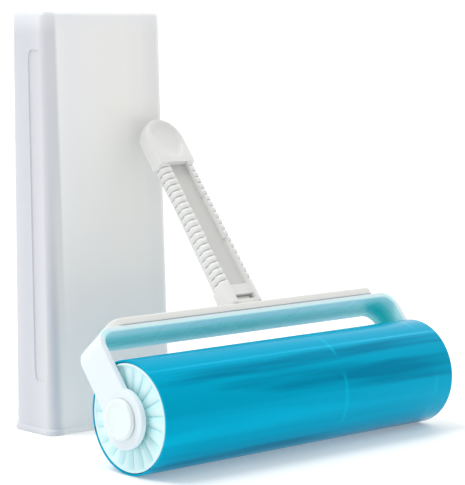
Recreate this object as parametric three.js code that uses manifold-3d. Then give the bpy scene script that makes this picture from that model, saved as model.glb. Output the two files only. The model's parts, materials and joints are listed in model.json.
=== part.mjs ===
// Washable lint roller with its snap-on handle and its dust cover.
// Millimetres, +Z up, the floor is Z = 0. The roller turns about an axis parallel to X.
// The yoke, its spine plate, the catch and the handle lean back together, so they are drawn
// in a leaning frame: x along the roller, y towards the back, z up the handle from the axle.

import * as THREE from 'three';
import { mergeVertices } from 'three/addons/utils/BufferGeometryUtils.js';
import Module from 'manifold-3d';

const wasm = await Module();
wasm.setup();

// ---------- driving dimensions ----------
const GAP = 0.3;                      // between pieces that touch on the real object
const CUT = 1;                        // how far a cutting solid runs past the surface it opens
const RUN = 0.2;                      // radial running clearance of the roller on its axles
const LEAN = THREE.MathUtils.degToRad(39);

const ROLLER_R = 25;
const ROLLER_HALF = 90;
const SLEEVE_WALL = 1;
const TUBE_WALL = 1.8;
const TUBE_R = ROLLER_R - SLEEVE_WALL - GAP;
const CAP_RIM_THICK = 1.2;            // the rim that closes the end of the tube
const TUBE_HALF = ROLLER_HALF - CAP_RIM_THICK - GAP;
const ROUND_STEPS = 72;

const FLUTES = 19;
const FLUTE_STEPS = 4;
const FLUTE_HEIGHT = 0.8;
const HUB_R = 8;                      // the end cap's hub, which turns on the stub axle
const HUB_PROUD = 0.6;
const HUB_DEEP = 9.5;
const CAP_THICK = 3.6;
const CAP_RIM_R = 22.8;               // inner edge of the flat rim round the flutes
const SPIGOT_DEEP = 10;
const SPIGOT_WALL = 1.4;
// The fluted face between hub and rim: radius, depth below the rim, and share of the flute height.
const CAP_FACE = [[8.6, 0.3, 0], [12, 1.8, 0.45], [17, 1.7, 1], [22.3, 1.2, 0.8]];

const STRAP = 2.8;                    // thickness of the yoke's strap
const STRAP_HALF_WIDTH = 9;
const YOKE_HALF = 94;                 // outer faces of the arms
const BAR_TOP = 40.4;                 // top of the crossbar above the axle
const CORNER_R = 9;
const BOSS_R = 13.3;

const AXLE_R = 4;
const AXLE_HEAD_R = 9;
const AXLE_HEAD = 2;
const AXLE_HEAD_EDGE = 0.5;           // bevel round the head
const AXLE_REACH = 12;                // how far the shank enters the roller
const BARB_PROUD = 1;
const BARB_LONG = 2;
const AXLE_STEPS = 48;

const PLATE_HALF = 82;
const PLATE_FRONT = -9.3;
const PLATE_BACK = 7;
const PLATE_END_R = 5;
const PLATE_TOP = 44.3;

const TONGUE_HALF = 7;
const TONGUE_FRONT = -4.7;
const TONGUE_BACK = -1.1;
const TONGUE_TOP = 53.2;
const CATCH_HALF = 4.9;
const CATCH_LOW = 45.8;
const CATCH_PIVOT = 51.5;             // height of the catch's flexing root
const CATCH_THICK = 1.4;
const CATCH_ROOM = 0.6;               // clearance under the catch, so that it can swing
const NIB_REACH = 1.1;

const GRIP_LOW = PLATE_TOP + GAP;
const GRIP_TIP = 149.5;
const GRIP_HALF_LOW = 10;
const GRIP_HALF_TOP = 11;
const GRIP_FRONT = -9;
const GRIP_BACK_LOW = 2;
const GRIP_BACK_TOP = -1.5;
const GRIP_TAPER_END = 104;           // above this the back runs parallel to the front
const TIP_BACK = { starts: 138, bulge: 146, ends: -8 };   // the curve that rounds the tip's back
const PAD_LOW = 124;
const PAD_FRONT = -10.2;
const CHANNEL_HALF = 5.8;
const CHANNEL_FLOOR = -6.5;
const BLOCK_TOP = 55;
const BLOCK_FRONT = -7.5;
const WINDOW_LOW = 46.9;
const WINDOW_HIGH = 49.5;
const WINDOW_HALF = 6;
const RIB_COUNT = 19;
const RIB_PITCH = 3.42;
const RIB_FIRST = 57.5;
const RIB_DEPTH = 0.9;
const RIB_WALL_HALF = 7;              // half length of a groove along the side wall
const DISH = { half: 8.4, deep: 2.4, tall: 10.8, centre: 137.6 };

const COVER_HEIGHT = 198.5;
const COVER_WALL = 1.4;
const COVER_TOP_EDGE = 2.4;           // height of the bevelled top edge
const LIP_HEIGHT = 2.6;
const LIP_PROUD = 1;
const COVER_FOOT = { left: -63.7, right: 13, front: 88.9, back: 152.6, end: 25.9, wedge: 29 };
const COVER_HEAD = { left: -60.3, right: 13, front: 97.3, back: 152.6, end: 22.4, wedge: 27 };
// Corner radii: front left, front right, back right, back left, end back.
const COVER_CORNERS = [3.5, 6, 14, 10, 3.5];
const COVER_BEVEL = 0.7;              // how far the bevelled edge draws in before it rounds over
const PANEL = { low: 25, high: 181, wide: 9, deep: 0.6, edge: 2.6, corner: 3 };

const CENTRE_Y = (COVER_FOOT.back + LIP_PROUD - ROLLER_R) / 2;

// ---------- shape helpers ----------

// A geometry as a closed, outward-facing solid for joining and cutting.
function solid(geometry) {
  const bare = geometry.clone();
  bare.deleteAttribute('normal');
  bare.deleteAttribute('uv');
  const merged = mergeVertices(bare, 1e-4);
  const index = Array.from(merged.index.array);
  const kept = [];
  for (let i = 0; i < index.length; i += 3) {
    const [a, b, c] = index.slice(i, i + 3);
    if (a !== b && b !== c && c !== a) kept.push(a, b, c);
  }
  const place = merged.attributes.position;
  const corner = [new THREE.Vector3(), new THREE.Vector3(), new THREE.Vector3()];
  let volume = 0;
  for (let i = 0; i < kept.length; i += 3) {
    corner.forEach((point, k) => point.fromBufferAttribute(place, kept[i + k]));
    volume += corner[0].dot(corner[1].clone().cross(corner[2]));
  }
  if (volume < 0) kept.reverse();
  return new wasm.Manifold(new wasm.Mesh({
    numProp: 3,
    vertProperties: new Float32Array(place.array),
    triVerts: new Uint32Array(kept),
  }));
}

// A solid back as a geometry that a mesh can show.
function shown(body) {
  const mesh = body.getMesh();
  const geometry = new THREE.BufferGeometry();
  geometry.setAttribute('position', new THREE.BufferAttribute(mesh.vertProperties, 3));
  geometry.setIndex(new THREE.BufferAttribute(mesh.triVerts, 1));
  geometry.computeVertexNormals();
  return geometry;
}

// A block between two corners.
function block(low, high) {
  const size = high.map((value, i) => value - low[i]);
  const box = new THREE.BoxGeometry(...size);
  box.translate(...high.map((value, i) => (value + low[i]) / 2));
  return solid(box);
}

// A closed profile of [radius, along] points turned about the X axis. swell(turn, i) moves point i
// along the axis, which is how the flutes are made.
function turned(profile, steps = ROUND_STEPS, swell = () => 0) {
  const count = profile.length;
  const position = [];
  const index = [];
  for (let s = 0; s < steps; s++) {
    const turn = (2 * Math.PI * s) / steps;
    const next = (s + 1) % steps;
    profile.forEach(([radius, along], i) => {
      position.push(along + swell(turn, i), radius * Math.cos(turn), radius * Math.sin(turn));
      const after = (i + 1) % count;
      const corners = [s * count + i, s * count + after, next * count + after, next * count + i];
      index.push(corners[0], corners[1], corners[2], corners[0], corners[2], corners[3]);
    });
  }
  const geometry = new THREE.BufferGeometry();
  geometry.setAttribute('position', new THREE.Float32BufferAttribute(position, 3));
  geometry.setIndex(index);
  return solid(geometry);
}

// A round rod or disc about the X axis.
function rod(radius, from, to, steps = ROUND_STEPS) {
  const cylinder = new THREE.CylinderGeometry(radius, radius, to - from, steps);
  cylinder.rotateZ(Math.PI / 2);
  cylinder.translate((from + to) / 2, 0, 0);
  return solid(cylinder);
}

// An open pipe about the X axis, as long on both sides of the middle.
function pipe(inner, outer, half) {
  return turned([[inner, -half], [outer, -half], [outer, half], [inner, half]]);
}

// A flat outline given in x and z, with a thickness along y.
function slab(shape, from, to, curveSegments = 8) {
  const flat = new THREE.ExtrudeGeometry(shape, { depth: to - from, bevelEnabled: false, curveSegments });
  flat.rotateX(Math.PI / 2);
  flat.translate(0, to, 0);
  return solid(flat);
}

// Points round a corner-rounded outline; each corner is [x, y, radius].
function roundedOutline(corners, arcSteps = 5) {
  const points = [];
  corners.forEach(([x, y, radius], i) => {
    const before = corners[(i + corners.length - 1) % corners.length];
    const after = corners[(i + 1) % corners.length];
    const here = new THREE.Vector2(x, y);
    const back = new THREE.Vector2(before[0], before[1]).sub(here).normalize();
    const ahead = new THREE.Vector2(after[0], after[1]).sub(here).normalize();
    const half = Math.acos(back.dot(ahead)) / 2;
    const inward = back.clone().add(ahead).normalize();
    const centre = here.clone().addScaledVector(inward, radius / Math.sin(half));
    const reach = radius / Math.tan(half);
    const first = here.clone().addScaledVector(back, reach).sub(centre).angle();
    const last = here.clone().addScaledVector(ahead, reach).sub(centre).angle();
    let sweep = last - first;
    if (sweep > Math.PI) sweep -= 2 * Math.PI;
    if (sweep < -Math.PI) sweep += 2 * Math.PI;
    for (let step = 0; step <= arcSteps; step++) {
      const angle = first + (sweep * step) / arcSteps;
      points.push([centre.x + radius * Math.cos(angle), centre.y + radius * Math.sin(angle)]);
    }
  });
  return points;
}

// A solid through a stack of outlines, each { z, points }, with the same number of points in each.
function loft(levels) {
  const count = levels[0].points.length;
  const position = levels.flatMap(({ z, points }) => points.flatMap(([x, y]) => [x, y, z]));
  const index = [];
  for (let level = 0; level < levels.length - 1; level++) {
    for (let i = 0; i < count; i++) {
      const a = level * count + i;
      const b = level * count + ((i + 1) % count);
      index.push(a, b, b + count, a, b + count, a + count);
    }
  }
  const lid = THREE.ShapeUtils.triangulateShape(levels[0].points.map((p) => new THREE.Vector2(...p)), []);
  const top = (levels.length - 1) * count;
  for (const [a, b, c] of lid) index.push(c, b, a, top + a, top + b, top + c);
  const geometry = new THREE.BufferGeometry();
  geometry.setAttribute('position', new THREE.Float32BufferAttribute(position, 3));
  geometry.setIndex(index);
  return solid(geometry);
}

// ---------- the roller ----------

function stickySleeve() {
  const inner = ROLLER_R - SLEEVE_WALL;
  return pipe(inner, ROLLER_R, ROLLER_HALF);
}

function coreTube() {
  const inner = TUBE_R - TUBE_WALL;
  return pipe(inner, TUBE_R, TUBE_HALF);
}

// An end cap: a rim over the end of the tube, a spigot inside it, a fluted face and a long hub.
function endCap() {
  const rimBack = TUBE_HALF + GAP;
  const spigotR = TUBE_R - TUBE_WALL - GAP;
  const spigotEnd = ROLLER_HALF - SPIGOT_DEEP;
  const hubEnd = ROLLER_HALF - HUB_DEEP;
  const capBack = ROLLER_HALF - CAP_THICK;
  const bore = AXLE_R + RUN;
  const profile = [
    [bore, ROLLER_HALF + HUB_PROUD], [HUB_R, ROLLER_HALF + HUB_PROUD],
    ...CAP_FACE.map(([radius, deep]) => [radius, ROLLER_HALF - deep]),
    [CAP_RIM_R, ROLLER_HALF], [TUBE_R, ROLLER_HALF], [TUBE_R, rimBack], [spigotR, rimBack],
    [spigotR, spigotEnd], [spigotR - SPIGOT_WALL, spigotEnd], [spigotR - SPIGOT_WALL, capBack],
    [HUB_R, capBack], [HUB_R, hubEnd], [bore, hubEnd],
  ];
  const before = 2;                   // points of the profile inside the fluted face
  const share = (i) => CAP_FACE[i - before]?.[2] ?? 0;
  const swell = (turn, i) => share(i) * FLUTE_HEIGHT * Math.abs(Math.sin((FLUTES * turn) / 2));
  return turned(profile, FLUTES * FLUTE_STEPS, swell);
}

// A stub axle: a flat round head outside the arm, a shank through it and a barb inside the hub.
function axleStub() {
  const inside = YOKE_HALF + GAP;
  const outside = inside + AXLE_HEAD;
  const centre = AXLE_R / 2;          // the head is a ring here, which the shank then fills
  const head = turned([
    [centre, inside], [AXLE_HEAD_R, inside], [AXLE_HEAD_R, outside - AXLE_HEAD_EDGE],
    [AXLE_HEAD_R - AXLE_HEAD_EDGE, outside], [centre, outside],
  ], AXLE_STEPS);
  const end = ROLLER_HALF - AXLE_REACH;
  const shank = rod(AXLE_R, end, outside, AXLE_STEPS);
  const barb = rod(AXLE_R + BARB_PROUD, end, end + BARB_LONG, AXLE_STEPS);
  return head.add(shank).add(barb);
}

// ---------- the yoke and its spine plate, in the leaning frame ----------

function yokeFrame() {
  const outer = YOKE_HALF - CORNER_R;
  const inner = YOKE_HALF - STRAP;
  const bend = BAR_TOP - CORNER_R;
  const u = new THREE.Shape();
  u.moveTo(-YOKE_HALF, 0);
  u.lineTo(-YOKE_HALF, bend);
  u.absarc(-outer, bend, CORNER_R, Math.PI, Math.PI / 2, true);
  u.lineTo(outer, BAR_TOP);
  u.absarc(outer, bend, CORNER_R, Math.PI / 2, 0, true);
  u.lineTo(YOKE_HALF, 0);
  u.lineTo(inner, 0);
  u.lineTo(inner, bend);
  u.absarc(outer, bend, CORNER_R - STRAP, 0, Math.PI / 2, false);
  u.lineTo(-outer, BAR_TOP - STRAP);
  u.absarc(-outer, bend, CORNER_R - STRAP, Math.PI / 2, Math.PI, false);
  u.lineTo(-inner, 0);
  u.closePath();
  let frame = slab(u, -STRAP_HALF_WIDTH, STRAP_HALF_WIDTH);
  for (const side of [-1, 1]) {
    const [near, far] = [side * inner, side * YOKE_HALF].sort((a, b) => a - b);
    frame = frame.add(rod(BOSS_R, near, far));
    frame = frame.subtract(rod(AXLE_R + GAP, near - CUT, far + CUT, AXLE_STEPS));
  }
  return frame;
}

function spinePlate() {
  const corner = PLATE_END_R;
  const outline = roundedOutline([
    [-PLATE_HALF, PLATE_FRONT, corner], [PLATE_HALF, PLATE_FRONT, corner],
    [PLATE_HALF, PLATE_BACK, corner], [-PLATE_HALF, PLATE_BACK, corner],
  ]);
  const plate = loft([{ z: BAR_TOP + GAP, points: outline }, { z: PLATE_TOP, points: outline }]);
  const tongue = block(
    [-TONGUE_HALF, TONGUE_FRONT, PLATE_TOP - CUT],
    [TONGUE_HALF, TONGUE_BACK, TONGUE_TOP],
  );
  const opening = block(
    [-CATCH_HALF - GAP, TONGUE_FRONT - CUT, CATCH_LOW - CATCH_ROOM],
    [CATCH_HALF + GAP, TONGUE_BACK + CUT, CATCH_PIVOT + GAP],
  );
  return plate.add(tongue).subtract(opening);
}

// The catch: a flexing tab in the tongue whose nib stands in the handle's window.
function releaseCatch() {
  const face = TONGUE_FRONT;
  const tab = block([-CATCH_HALF, face, CATCH_LOW], [CATCH_HALF, face + CATCH_THICK, CATCH_PIVOT]);
  const nib = block(
    [-CATCH_HALF, face - NIB_REACH, WINDOW_LOW + GAP],
    [CATCH_HALF, face + CATCH_THICK / 2, WINDOW_HIGH - GAP],
  );
  return tab.add(nib);
}

// ---------- the handle, in the leaning frame ----------

// The outline seen from the front: straight sides that widen a little to a half-round tip.
function gripFront() {
  const centre = GRIP_TIP - GRIP_HALF_TOP;
  const front = new THREE.Shape();
  front.moveTo(-GRIP_HALF_LOW, GRIP_LOW);
  front.lineTo(GRIP_HALF_LOW, GRIP_LOW);
  front.lineTo(GRIP_HALF_TOP, centre);
  front.absarc(0, centre, GRIP_HALF_TOP, 0, Math.PI, false);
  front.closePath();
  return slab(front, PAD_FRONT - CUT, GRIP_BACK_LOW + CUT, 16);
}

// The outline seen from the side: flat front, raised thumb pad, tapering back, rounded tip.
function gripSide() {
  const side = new THREE.Shape();
  side.moveTo(GRIP_FRONT, GRIP_LOW);
  side.lineTo(GRIP_FRONT, PAD_LOW);
  side.lineTo(PAD_FRONT, PAD_LOW);
  side.lineTo(PAD_FRONT, GRIP_TIP);
  side.lineTo(TIP_BACK.ends, GRIP_TIP);
  side.quadraticCurveTo(GRIP_BACK_TOP, TIP_BACK.bulge, GRIP_BACK_TOP, TIP_BACK.starts);
  side.lineTo(GRIP_BACK_TOP, GRIP_TAPER_END);
  side.lineTo(GRIP_BACK_LOW, GRIP_LOW);
  side.closePath();
  const width = 2 * (GRIP_HALF_TOP + CUT);
  const body = new THREE.ExtrudeGeometry(side, { depth: width, bevelEnabled: false });
  body.rotateZ(Math.PI / 2);
  body.rotateY(Math.PI / 2);
  body.translate(-width / 2, 0, 0);
  return solid(body);
}

// One V groove across the side wall and the front of one flange.
function ribGroove(side, height) {
  const vee = (half) => {
    const cut = new THREE.BoxGeometry(half * 2, RIB_DEPTH * Math.SQRT2, RIB_DEPTH * Math.SQRT2);
    cut.rotateX(Math.PI / 4);
    return cut;
  };
  const rise = (height - GRIP_LOW) / (GRIP_TIP - GRIP_HALF_TOP - GRIP_LOW);
  const edge = THREE.MathUtils.lerp(GRIP_HALF_LOW, GRIP_HALF_TOP, rise);
  const front = vee((edge + CUT - CHANNEL_HALF) / 2);
  front.translate((side * (edge + CUT + CHANNEL_HALF)) / 2, GRIP_FRONT, height);
  const wall = vee(RIB_WALL_HALF);
  wall.rotateZ(Math.PI / 2);
  wall.translate(side * edge, GRIP_FRONT + RIB_WALL_HALF - GAP, height);
  return solid(front).add(solid(wall));
}

// The blind socket in the foot that takes the tongue, and the relief that lets the nib through.
function tongueSocket() {
  const front = TONGUE_FRONT - GAP;
  const low = GRIP_LOW - CUT;
  const socketHalf = TONGUE_HALF + GAP;
  const reliefHalf = CATCH_HALF + GAP;
  const socket = block([-socketHalf, front, low], [socketHalf, TONGUE_BACK + GAP, TONGUE_TOP + CUT]);
  const relief = block([-reliefHalf, front - NIB_REACH, low], [reliefHalf, front + CUT, WINDOW_LOW + CUT]);
  const window = block([-WINDOW_HALF, PAD_FRONT, WINDOW_LOW], [WINDOW_HALF, front + CUT, WINDOW_HIGH]);
  return socket.add(relief).add(window);
}

function handleGrip() {
  const dish = new THREE.SphereGeometry(1, 24, 14);
  dish.scale(DISH.half, DISH.deep, DISH.tall);
  dish.translate(0, PAD_FRONT, DISH.centre);
  const channel = block([-CHANNEL_HALF, PAD_FRONT, BLOCK_TOP], [CHANNEL_HALF, CHANNEL_FLOOR, PAD_LOW]);
  const foot = block(
    [-CHANNEL_HALF, PAD_FRONT, GRIP_LOW - CUT],
    [CHANNEL_HALF, BLOCK_FRONT, BLOCK_TOP + GAP],
  );
  let grip = gripFront().intersect(gripSide());
  grip = grip.subtract(channel).subtract(foot).subtract(tongueSocket()).subtract(solid(dish));
  for (let i = 0; i < RIB_COUNT; i++) {
    for (const side of [-1, 1]) {
      grip = grip.subtract(ribGroove(side, RIB_FIRST + i * RIB_PITCH));
    }
  }
  return grip;
}

// ---------- the dust cover ----------

// One of the cover's dimensions at a fraction of its height.
const coverAt = (name, fraction) => THREE.MathUtils.lerp(COVER_FOOT[name], COVER_HEAD[name], fraction);

// The cover's outline at a fraction of its height, drawn in by an inset: a square end for the roller
// and a narrow end for the crossbar, flush along the front.
function coverOutline(fraction, inset) {
  const left = coverAt('left', fraction);
  const front = coverAt('front', fraction);
  const right = coverAt('right', fraction) - inset;
  const back = coverAt('back', fraction) - inset;
  const slant = inset * 0.4;          // keeps the slanted wall as thick as the others
  const places = [
    [left + inset, front + inset], [right, front + inset], [right, back],
    [left + coverAt('wedge', fraction) + slant, back],
    [left + inset, front + coverAt('end', fraction) - slant],
  ];
  const leastRadius = 0.6;
  return roundedOutline(places.map(([x, y], i) => [x, y, Math.max(COVER_CORNERS[i] - inset, leastRadius)]));
}

function dustCover() {
  const outlineAt = (z, inset) => ({ z, points: coverOutline(Math.max(z, 0) / COVER_HEIGHT, inset) });
  const outer = loft([
    outlineAt(0, 0), outlineAt(COVER_HEIGHT - COVER_TOP_EDGE, 0),
    outlineAt(COVER_HEIGHT - COVER_BEVEL, COVER_BEVEL), outlineAt(COVER_HEIGHT, COVER_TOP_EDGE),
  ]);
  const lip = loft([outlineAt(0, -LIP_PROUD), outlineAt(LIP_HEIGHT, -LIP_PROUD)]);
  const hollow = loft([
    outlineAt(-CUT, COVER_WALL), outlineAt(0, COVER_WALL), outlineAt(COVER_HEIGHT - COVER_WALL, COVER_WALL),
  ]);
  return outer.add(lip).subtract(hollow).subtract(endPanel());
}

// The long sunk panel on the cover's narrow end, beside its front corner.
function endPanel() {
  const outlineAt = (z, grow) => {
    const left = coverAt('left', z / COVER_HEIGHT);
    const near = coverAt('front', z / COVER_HEIGHT) + PANEL.edge - grow;
    const far = near + PANEL.wide + 2 * grow;
    const deep = left + PANEL.deep;
    return { z, points: [[left - CUT, near], [deep, near], [deep, far], [left - CUT, far]] };
  };
  return loft([
    outlineAt(PANEL.low, -PANEL.corner / 2), outlineAt(PANEL.low + PANEL.corner, 0),
    outlineAt(PANEL.high - PANEL.corner, 0), outlineAt(PANEL.high, -PANEL.corner / 2),
  ]);
}

// ---------- materials and assembly ----------

const finish = (color, roughness, extra = {}) =>
  new THREE.MeshStandardMaterial({ color, roughness, metalness: 0, ...extra });

function piece(name, body, material) {
  const mesh = new THREE.Mesh(shown(body), material);
  mesh.name = name;
  return mesh;
}

const group = new THREE.Group();
group.position.set(0, -CENTRE_Y, 0);

const axle = new THREE.Group();
axle.position.set(0, 0, ROLLER_R);
group.add(axle);

axle.add(piece('sticky_sleeve', stickySleeve(), finish(0x00a0c8, 0.22)));
axle.add(piece('core_tube', coreTube(), finish(0xe9f4f6, 0.5)));
for (const [side, turn] of [['right', 0], ['left', Math.PI]]) {
  const cap = piece(`end_cap_${side}`, endCap(), finish(0xd8f3f8, 0.4));
  const stub = piece(`axle_stub_${side}`, axleStub(), finish(0xf4fbfb, 0.35));
  cap.rotation.z = turn;
  stub.rotation.z = turn;
  axle.add(cap, stub);
}

const leaning = new THREE.Group();
leaning.rotation.x = -LEAN;
axle.add(leaning);
leaning.add(piece('yoke_frame', yokeFrame(), finish(0xf1f8fb, 0.38)));
leaning.add(piece('spine_plate', spinePlate(), finish(0xe8e8e2, 0.42)));
leaning.add(piece('release_catch', releaseCatch(), finish(0xe4e4de, 0.45)));
leaning.add(piece('handle_grip', handleGrip(), finish(0xf6f6f4, 0.4)));

const translucent = { transparent: true, opacity: 0.75 };
group.add(piece('dust_cover', dustCover(), finish(0xe6e7ea, 0.45, translucent)));

export default group;
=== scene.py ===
import json
import math

import bmesh
import bpy
import numpy as np
from mathutils import Matrix, Vector


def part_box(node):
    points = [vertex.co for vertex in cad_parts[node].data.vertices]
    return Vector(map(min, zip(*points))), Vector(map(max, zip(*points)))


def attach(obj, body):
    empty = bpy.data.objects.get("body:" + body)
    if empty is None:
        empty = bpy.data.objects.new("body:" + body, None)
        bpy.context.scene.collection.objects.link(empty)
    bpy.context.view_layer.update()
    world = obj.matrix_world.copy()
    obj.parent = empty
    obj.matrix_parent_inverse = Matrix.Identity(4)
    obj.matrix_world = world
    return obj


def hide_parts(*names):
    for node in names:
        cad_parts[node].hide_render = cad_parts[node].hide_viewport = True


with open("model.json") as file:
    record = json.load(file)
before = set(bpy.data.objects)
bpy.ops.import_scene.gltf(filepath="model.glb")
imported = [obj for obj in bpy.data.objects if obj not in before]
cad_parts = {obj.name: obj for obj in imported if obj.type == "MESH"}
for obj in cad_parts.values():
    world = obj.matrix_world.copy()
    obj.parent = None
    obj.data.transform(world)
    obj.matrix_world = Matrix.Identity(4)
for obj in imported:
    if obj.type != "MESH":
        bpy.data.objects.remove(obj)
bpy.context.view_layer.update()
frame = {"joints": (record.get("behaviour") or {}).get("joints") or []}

# A washable lint roller with its handle and its dust cover. Lengths are millimetres until a piece is
# placed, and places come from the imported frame.
MM = 0.001
TURN = 2 * math.pi


def box_mm(node):
    low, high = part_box(node)
    return low / MM, high / MM


def joint(name):
    return next(j for j in frame["joints"] if j["name"] == name)


# ---------- sizes read from the frame ----------
SLEEVE_LOW, SLEEVE_HIGH = box_mm("sticky_sleeve")
TUBE_LOW, TUBE_HIGH = box_mm("core_tube")
YOKE_HALF = box_mm("yoke_frame")[1].x
PLATE_HALF = box_mm("spine_plate")[1].x
STUB_LOW, STUB_HIGH = box_mm("axle_stub_right")
CAP_LOW, CAP_HIGH = box_mm("end_cap_right")
COVER_LOW, COVER_HIGH = box_mm("dust_cover")

AXLE = (SLEEVE_LOW + SLEEVE_HIGH) / 2
ROLLER_R = (SLEEVE_HIGH.z - SLEEVE_LOW.z) / 2
ROLLER_HALF = SLEEVE_HIGH.x
TUBE_R = (TUBE_HIGH.z - TUBE_LOW.z) / 2
TUBE_HALF = TUBE_HIGH.x
PULL_AXIS = joint("handle_pull")["axis"]
LEAN = math.atan2(PULL_AXIS[1], PULL_AXIS[2])

# Three places to build in: about the axle, in the leaning frame of yoke and handle, and on the floor.
AT_AXLE = Matrix.Translation(AXLE * MM) @ Matrix.Scale(MM, 4)
LEANING = Matrix.Translation(AXLE * MM) @ Matrix.Rotation(-LEAN, 4, "X") @ Matrix.Scale(MM, 4)
ON_FLOOR = Matrix.Scale(MM, 4)

# ---------- sizes of the details ----------
GAP = 0.3
SLEEVE_WALL = 1.0
SLEEVE_EDGE = 0.35
TUBE_WALL = 1.8
TUBE_EDGE = 0.3
FLUTES = 19
FLUTE = {"deep": 1.7, "deep_from": 0.3, "crest": 0.55, "crest_fall": 0.75, "round_from": 0.86,
         "sharp": 0.6, "foot": 0.35, "foot_rise": 2.2}
HUB_R = 8.0
HUB_LONG = 9.5
CAP_THICK = 3.6
CAP_RIM_R = 22.8
BORE_R = 4.2
AXLE_R = 4.0
AXLE_HEAD_R = 9.0
BOSS_R = 13.3
STRAP = 2.8
STRAP_HALF = 9.0
STRAP_EDGE = 0.55
CORNER_R = 9.0
BAR_TOP = 40.4
PLATE = {"front": -9.3, "back": 7.0, "low": BAR_TOP + 0.06, "top": 44.3, "corner": 5.0, "low_edge": 0.3,
         "top_edge": 1.1}
TONGUE = {"half": 7.0, "front": -4.7, "back": -1.1, "top": 53.2}
CATCH = {"half": 4.9, "low": 45.8, "pivot": 51.5, "thick": 1.4, "nib": 1.1}
GRIP = {"low": 44.6, "tip": 149.5, "half_low": 10.0, "half_top": 11.0, "front": -9.0, "pad": -10.2,
        "back_low": 2.0, "back_top": -1.5, "taper_end": 104.0, "pad_low": 124.0}
CHANNEL = {"half_low": 6.2, "half_top": 5.5, "floor": -6.5, "block": -7.5, "block_top": 55.0}
WINDOW = {"low": 46.9, "high": 49.5, "half": 6.0}
RIBS = {"first": 57.5, "pitch": 3.42, "count": 20, "deep": 1.2}
FLANGE_ROUND = 3.3
PAD_ROUND = 1.7
GRIP_BACK_ROUND = 1.2
GRIP_FOOT_EDGE = 0.35
TIP_CURVE = ((138.0, 146.0, 149.5), (-1.5, -1.5, -8.0))
DISH = {"half": 8.4, "deep": 2.9, "tall": 10.8, "centre": 137.6, "round": 0.45}
LIP_PROUD = 1.0
LIP_HEIGHT = 2.6
COVER_WALL = 1.4
COVER_EDGE = 2.4
CEILING_EDGE = 1.6
COVER_DRAFT = {"left": 3.4, "front": 8.4, "end": -3.5, "wedge": -2.0}
COVER_FOOT = {"left": COVER_LOW.x + LIP_PROUD, "right": COVER_HIGH.x - LIP_PROUD,
              "front": COVER_LOW.y + LIP_PROUD, "back": COVER_HIGH.y - LIP_PROUD, "end": 25.9, "wedge": 29.0}
COVER_CORNERS = (3.5, 6.0, 14.0, 10.0, 3.5)
PANEL = {"low": 25.0, "high": 181.0, "wide": 9.0, "deep": 0.6, "edge": 2.6, "end_round": 2.2}


# ---------- mesh helpers ----------
ROD_STEPS = 64


def smoothstep(low, high, value):
    t = np.clip((value - low) / (high - low), 0, 1)
    return t * t * (3 - 2 * t)


def quarter(radius, steps=5):
    """(drop, inset) pairs round a quarter circle, from the flat face to the side."""
    turns = [math.pi / 2 * i / steps for i in range(steps + 1)]
    return [(radius * (1 - math.cos(t)), radius * (1 - math.sin(t))) for t in turns]


def rounded_outline(corners, steps=8):
    """Points round a polygon whose corners are (x, y, radius)."""
    points = []
    count = len(corners)
    for i, (x, y, radius) in enumerate(corners):
        here = Vector((x, y))
        back = (Vector(corners[i - 1][:2]) - here).normalized()
        ahead = (Vector(corners[(i + 1) % count][:2]) - here).normalized()
        half = math.acos(max(-1, min(1, back.dot(ahead)))) / 2
        centre = here + (back + ahead).normalized() * (radius / math.sin(half))
        reach = radius / math.tan(half)
        first = here + back * reach - centre
        last = here + ahead * reach - centre
        start = math.atan2(first.y, first.x)
        sweep = math.atan2(last.y, last.x) - start
        sweep = (sweep + math.pi) % TURN - math.pi
        for step in range(steps + 1):
            angle = start + sweep * step / steps
            points.append((centre.x + radius * math.cos(angle), centre.y + radius * math.sin(angle)))
    return points


def loft(rings, caps=True, closed=False):
    """A bmesh through rings of points, all with the same count."""
    bm = bmesh.new()
    rows = [[bm.verts.new(p) for p in ring] for ring in rings]
    pairs = list(zip(rows, rows[1:])) + ([(rows[-1], rows[0])] if closed else [])
    for a, b in pairs:
        for i in range(len(a)):
            j = (i + 1) % len(a)
            bm.faces.new((a[i], a[j], b[j], b[i]))
    if caps:
        bm.faces.new(rows[0])
        bm.faces.new(rows[-1][::-1])
    return bm


def revolve(profile, steps, swell=None):
    """A closed profile of (radius, along) turned about X."""
    rings = []
    for s in range(steps):
        turn = TURN * s / steps
        ring = []
        for radius, along in profile:
            push = swell(turn, radius, along) if swell else 0
            ring.append((along + push, radius * math.cos(turn), radius * math.sin(turn)))
        rings.append(ring)
    return loft(rings, caps=False, closed=True)


def rounded_block(low, high, radius):
    """A block with its edges rounded, as a bmesh."""
    bm = bmesh.new()
    bmesh.ops.create_cube(bm, size=1)
    size = [b - a for a, b in zip(low, high)]
    middle = [(a + b) / 2 for a, b in zip(low, high)]
    for v in bm.verts:
        v.co = Vector([m + c * s for m, c, s in zip(middle, v.co, size)])
    if radius > 0:
        bmesh.ops.bevel(bm, geom=bm.edges[:], offset=radius, segments=3, profile=0.5, affect="EDGES")
    return bm


def rod(radius, low, high):
    """A cutting rod about X."""
    turns = [TURN * i / ROD_STEPS for i in range(ROD_STEPS)]
    return loft([[(x, radius * math.cos(t), radius * math.sin(t)) for t in turns] for x in (low, high)])


def clean(bm):
    bmesh.ops.remove_doubles(bm, verts=bm.verts, dist=1e-4)
    bmesh.ops.dissolve_degenerate(bm, dist=1e-5, edges=bm.edges)
    bmesh.ops.recalc_face_normals(bm, faces=bm.faces)
    return bm


def as_object(name, bm):
    mesh = bpy.data.meshes.new(name)
    clean(bm).to_mesh(mesh)
    bm.free()
    obj = bpy.data.objects.new(name, mesh)
    bpy.context.scene.collection.objects.link(obj)
    return obj


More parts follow.
